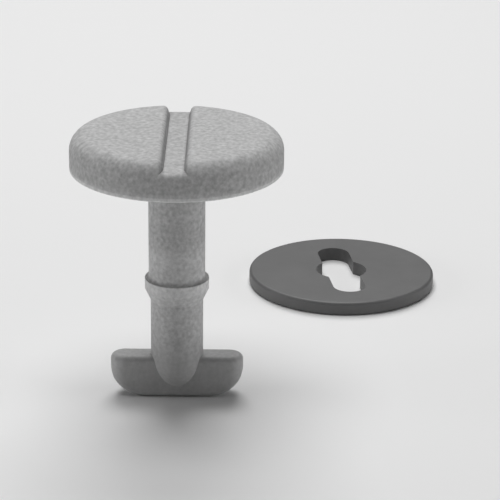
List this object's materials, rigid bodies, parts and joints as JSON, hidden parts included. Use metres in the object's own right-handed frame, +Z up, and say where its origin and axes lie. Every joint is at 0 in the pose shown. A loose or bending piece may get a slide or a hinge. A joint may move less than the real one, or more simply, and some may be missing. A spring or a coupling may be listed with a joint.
{
  "type": "floor carpet clip",
  "caption": "Quarter-turn floor carpet clip: grey moulded stud with a grooved round head, snap collar and T-shaped foot, beside its slotted retaining washer.",
  "frame": {"origin": "centre of the stud's foot, on the flat that it stands on", "axes": "+Z up the stud's axis towards the head, X along the foot's arms, Y along the grip groove in the head"},
  "size_m": [0.0406, 0.055, 0.0289],
  "materials": {
    "stud_nylon": "light grey moulded nylon with a fine spark-eroded grain",
    "washer_plastic": "mid grey moulded plastic, smooth and matte"
  },
  "bodies": {
    "root": {"turn_stud": "stud_nylon", "retaining_washer": "washer_plastic"}
  },
  "joints": []
}
